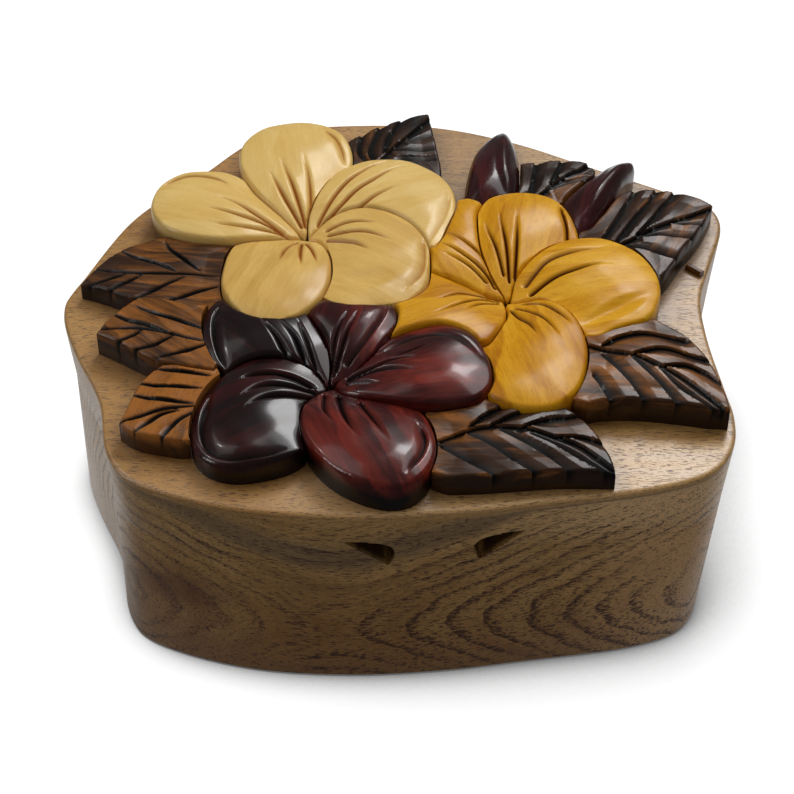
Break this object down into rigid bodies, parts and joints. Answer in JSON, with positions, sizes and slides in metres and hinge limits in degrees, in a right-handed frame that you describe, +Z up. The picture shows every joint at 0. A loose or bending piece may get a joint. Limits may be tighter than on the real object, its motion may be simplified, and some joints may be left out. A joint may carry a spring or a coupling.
{
  "type": "puzzle box",
  "caption": "Wavy-sided wooden puzzle box whose lid slides off along a dovetail and carries carved flowers, leaves and buds.",
  "frame": {"origin": "middle of the underside, on the face that the box stands on", "axes": "+Z up, +X to the right along the long side, +Y to the back, along the dovetail"},
  "size_m": [0.165, 0.1544, 0.0653],
  "materials": {
    "box_wood": "satin lacquer, open dark pores",
    "felt": "matt felt",
    "magnet": "nickel plate",
    "cream_wood": "satin lacquer",
    "yellow_wood": "satin lacquer",
    "red_wood": "high gloss lacquer",
    "leaf_wood": "gloss lacquer",
    "bud_wood": "gloss lacquer"
  },
  "bodies": {
    "box": {"box_body": "box_wood", "bottom_panel": "box_wood", "felt_lining": "felt", "rim_magnet_left": "magnet", "rim_magnet_right": "magnet"},
    "lid": {"lid": "box_wood", "lid_magnet_left": "magnet", "lid_magnet_right": "magnet", "cream_petal_left": "cream_wood", "cream_petal_back": "cream_wood", "cream_petal_back_right": "cream_wood", "cream_petal_right": "cream_wood", "cream_petal_front": "cream_wood", "yellow_petal_left": "yellow_wood", "yellow_petal_front_left": "yellow_wood", "yellow_petal_front": "yellow_wood", "yellow_petal_right": "yellow_wood", "yellow_petal_back": "yellow_wood", "red_petal_back_left": "red_wood", "red_petal_back": "red_wood", "red_petal_right": "red_wood", "red_petal_front": "red_wood", "red_petal_left": "red_wood", "leaf_left_back": "leaf_wood", "leaf_left": "leaf_wood", "leaf_left_front": "leaf_wood", "leaf_back": "leaf_wood", "leaf_between_buds": "leaf_wood", "leaf_right_back": "leaf_wood", "leaf_right": "leaf_wood", "leaf_front": "leaf_wood", "bud_left": "bud_wood", "bud_right": "bud_wood", "leaf_stem": "leaf_wood"}
  },
  "joints": [
    {"name": "lid_slide", "type": "slide", "parent": "box", "child": "lid", "axis": [0, 1, 0], "range_m": [-0.15, 0.15]}
  ]
}
